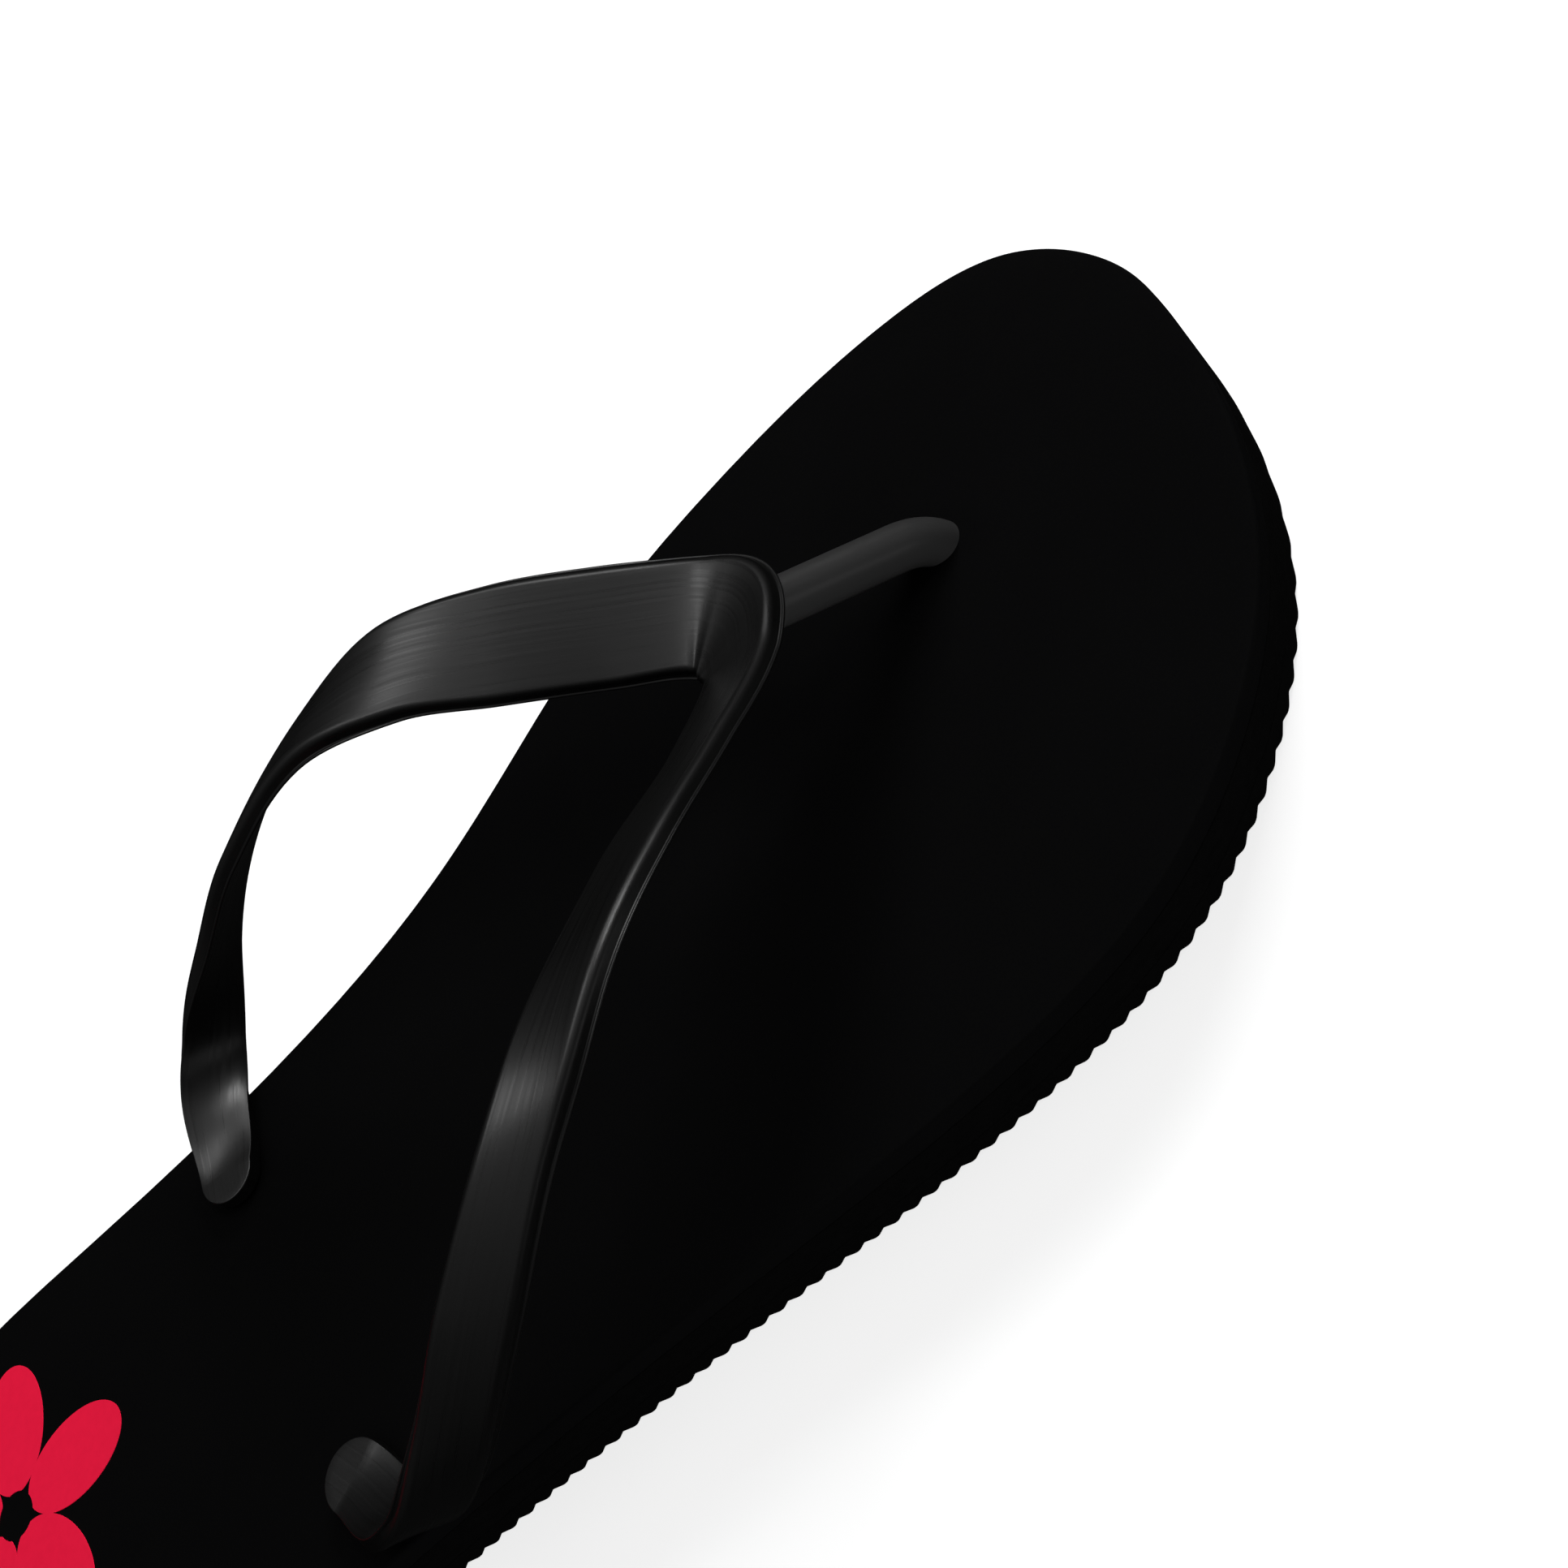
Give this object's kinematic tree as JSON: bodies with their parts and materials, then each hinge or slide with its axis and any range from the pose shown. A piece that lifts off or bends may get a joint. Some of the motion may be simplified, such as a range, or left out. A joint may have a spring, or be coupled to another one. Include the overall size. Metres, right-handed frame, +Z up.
{
  "type": "flip flop",
  "caption": "Right-foot flip flop: flat layered sole with a ribbed underside, and a moulded Y-shaped strap with a toe post.",
  "frame": {"origin": "on the ground, under the centre of the sole's length and width", "axes": "+X forward along the sole to the toe, +Y to the inner (big toe) side, +Z up"},
  "size_m": [0.2751, 0.102, 0.0488],
  "materials": {
    "footbed_foam": "smooth matte",
    "midsole_foam": "matte",
    "outsole_rubber": "matte, ribbed",
    "strap_rubber": "satin",
    "print_ink": "flat ink"
  },
  "bodies": {
    "root": {"footbed": "footbed_foam", "midsole": "midsole_foam", "outsole": "outsole_rubber", "strap": "strap_rubber", "heel_print": "print_ink"}
  },
  "joints": []
}
